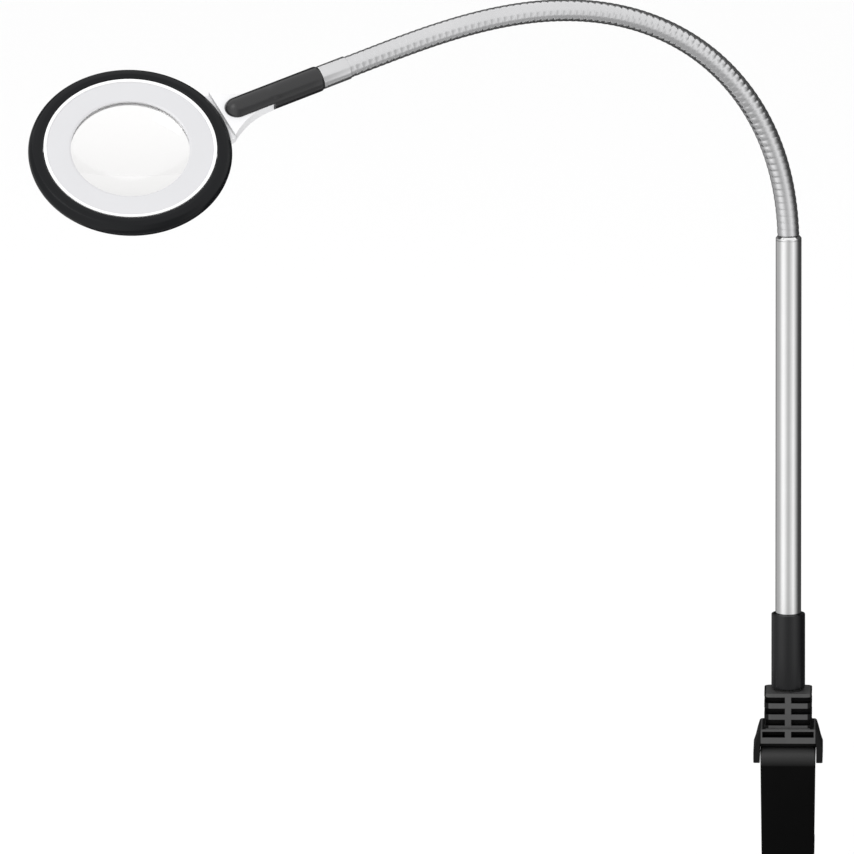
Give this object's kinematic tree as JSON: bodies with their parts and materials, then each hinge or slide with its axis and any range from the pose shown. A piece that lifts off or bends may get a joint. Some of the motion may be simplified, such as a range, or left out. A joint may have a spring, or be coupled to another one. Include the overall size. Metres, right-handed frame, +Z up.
{
  "type": "magnifying lamp",
  "caption": "Clamp-on magnifying lamp: a round lens in a ring-shaped lit head, on a gooseneck, on a swivelling pole held by a C-frame screw clamp.",
  "frame": {"origin": "where the pole's axis meets the face of the upper jaw's pad, so the top of the table edge that the lamp is clamped to is at Z = 0", "axes": "+Z up along the pole; the clamp's mouth opens to +Y and its back faces -Y; at rest the gooseneck curls over to -X, turned 23.3 degrees towards -Y"},
  "size_m": [0.6052, 0.3198, 0.7514],
  "materials": {
    "frame_black": "smooth black powder coat on a casting",
    "saddle_black": "ribbed glass-filled moulding, satin",
    "collar_black": "fine-textured black moulding",
    "grip_black": "satin black moulding",
    "rim_black": "semi-gloss black rim",
    "rubber_black": "matt black rubber",
    "lead_black": "black flexible lead",
    "tube_silver": "satin silver",
    "neck_silver": "satin nickel winding",
    "fastener_steel": "bright zinc plate",
    "nut_brass": "turned brass",
    "bush_white": "natural nylon",
    "shell_white": "white moulding, soft gloss",
    "diffuser_white": "opal diffuser",
    "board_white": "white circuit board with lamps",
    "lens_clear": "polished clear glass"
  },
  "bodies": {
    "clamp": {"clamp_frame": "frame_black", "clamp_saddle": "saddle_black", "swivel_bush": "bush_white", "friction_washer": "bush_white", "upper_jaw_pad": "rubber_black", "saddle_screw_1": "fastener_steel", "saddle_screw_2": "fastener_steel", "screw_nut": "nut_brass"},
    "clamp_pad": {"pressure_plate": "frame_black", "lower_jaw_pad": "rubber_black"},
    "clamp_screw": {"clamp_spindle": "fastener_steel", "clamp_knob": "collar_black", "knob_cap": "collar_black"},
    "pole": {"pole_tube": "tube_silver", "pole_collar": "collar_black", "swivel_spigot": "fastener_steel", "spigot_washer": "fastener_steel", "spigot_screw": "fastener_steel", "cord_gland": "rubber_black", "pole_lead": "lead_black", "neck_anchor": "tube_silver"},
    "neck_01": {"gooseneck_segment_01": "neck_silver"},
    "neck_02": {"gooseneck_segment_02": "neck_silver"},
    "neck_03": {"gooseneck_segment_03": "neck_silver"},
    "neck_04": {"gooseneck_segment_04": "neck_silver"},
    "neck_05": {"gooseneck_segment_05": "neck_silver"},
    "neck_06": {"gooseneck_segment_06": "neck_silver"},
    "neck_07": {"gooseneck_segment_07": "neck_silver"},
    "neck_08": {"gooseneck_segment_08": "neck_silver"},
    "neck_09": {"gooseneck_segment_09": "neck_silver"},
    "neck_10": {"gooseneck_segment_10": "neck_silver"},
    "neck_11": {"gooseneck_segment_11": "neck_silver"},
    "neck_end": {"gooseneck_tip": "neck_silver", "neck_ferrule": "tube_silver"},
    "head": {"head_rim": "rim_black", "head_top_shell": "shell_white", "head_lower_shell": "shell_white", "magnifier_lens": "lens_clear", "lens_retainer": "shell_white", "led_board": "board_white", "light_diffuser": "diffuser_white", "shell_screw_1": "fastener_steel", "shell_screw_2": "fastener_steel", "shell_screw_3": "fastener_steel", "shell_screw_4": "fastener_steel", "grip_upper": "grip_black", "grip_lower": "grip_black", "grip_screw_1": "fastener_steel", "grip_screw_2": "fastener_steel"}
  },
  "joints": [
    {"name": "pole_swivel", "type": "hinge", "parent": "clamp", "child": "pole", "pos_m": [0, 0, 0.056], "axis": [0, 0, 1], "range_deg": [-170, 170]},
    {"name": "neck_bend_1", "type": "hinge", "parent": "pole", "child": "neck_01", "pos_m": [0, 0, 0.425], "axis": [0.3955, -0.9184, 0], "range_deg": [-15.23, 7.62]},
    {"name": "neck_sway_1", "type": "hinge", "parent": "neck_01", "child": "neck_02", "pos_m": [-0.00994, -0.00428, 0.46475], "axis": [-0.8862, -0.3816, -0.2628], "range_deg": [-12, 12]},
    {"name": "neck_bend_2", "type": "hinge", "parent": "neck_02", "child": "neck_03", "pos_m": [-0.01989, -0.00856, 0.5045], "axis": [0.3955, -0.9184, 0], "range_deg": [-19.02, 9.51]},
    {"name": "neck_bend_3", "type": "hinge", "parent": "neck_03", "child": "neck_04", "pos_m": [-0.04119, -0.01774, 0.53856], "axis": [0.3955, -0.9184, 0], "range_deg": [-19.63, 9.82]},
    {"name": "neck_sway_2", "type": "hinge", "parent": "neck_04", "child": "neck_05", "pos_m": [-0.07176, -0.0309, 0.56284], "axis": [-0.5413, -0.2331, -0.8079], "range_deg": [-12.05, 12.05]},
    {"name": "neck_bend_4", "type": "hinge", "parent": "neck_05", "child": "neck_06", "pos_m": [-0.10233, -0.04407, 0.58712], "axis": [0.3955, -0.9184, 0], "range_deg": [-18.27, 9.14]},
    {"name": "neck_bend_5", "type": "hinge", "parent": "neck_06", "child": "neck_07", "pos_m": [-0.13835, -0.05958, 0.59974], "axis": [0.3955, -0.9184, 0], "range_deg": [-15.38, 7.69]},
    {"name": "neck_sway_3", "type": "hinge", "parent": "neck_07", "child": "neck_08", "pos_m": [-0.17616, -0.07587, 0.6015], "axis": [-0.0393, -0.0169, -0.9991], "range_deg": [-12.05, 12.05]},
    {"name": "neck_bend_6", "type": "hinge", "parent": "neck_08", "child": "neck_09", "pos_m": [-0.21396, -0.09215, 0.60326], "axis": [0.3955, -0.9184, 0], "range_deg": [-11.3, 5.65]},
    {"name": "neck_bend_7", "type": "hinge", "parent": "neck_09", "child": "neck_10", "pos_m": [-0.25135, -0.10825, 0.59692], "axis": [0.3955, -0.9184, 0], "range_deg": [-6.38, 4]},
    {"name": "neck_sway_4", "type": "hinge", "parent": "neck_10", "child": "neck_11", "pos_m": [-0.28786, -0.12397, 0.5861], "axis": [0.2413, 0.1039, -0.9649], "range_deg": [-12.05, 12.05]},
    {"name": "neck_bend_8", "type": "hinge", "parent": "neck_11", "child": "neck_end", "pos_m": [-0.32437, -0.1397, 0.57528], "axis": [0.3955, -0.9184, 0], "range_deg": [-6, 4]},
    {"name": "head_roll", "type": "hinge", "parent": "neck_end", "child": "head", "pos_m": [-0.35766, -0.15403, 0.56454], "axis": [-0.8806, -0.3793, -0.284], "range_deg": [-120, 120]},
    {"name": "screw_travel", "type": "slide", "parent": "clamp", "child": "clamp_pad", "axis": [0, 0, 1], "range_m": [-0.017, 0.033]},
    {"name": "screw_turn", "type": "hinge", "parent": "clamp_pad", "child": "clamp_screw", "pos_m": [0, 0.022, -0.123], "axis": [0, 0, 1], "range_deg": [-3060.2, 5940.2]}
  ],
  "couplings": [
    {"joint": "neck_sway_2", "follows": "neck_sway_1", "ratio": 1},
    {"joint": "neck_sway_3", "follows": "neck_sway_1", "ratio": 1},
    {"joint": "neck_sway_4", "follows": "neck_sway_1", "ratio": 1},
    {"joint": "screw_turn", "follows": "screw_travel", "rad_per_m": 3141.6}
  ]
}
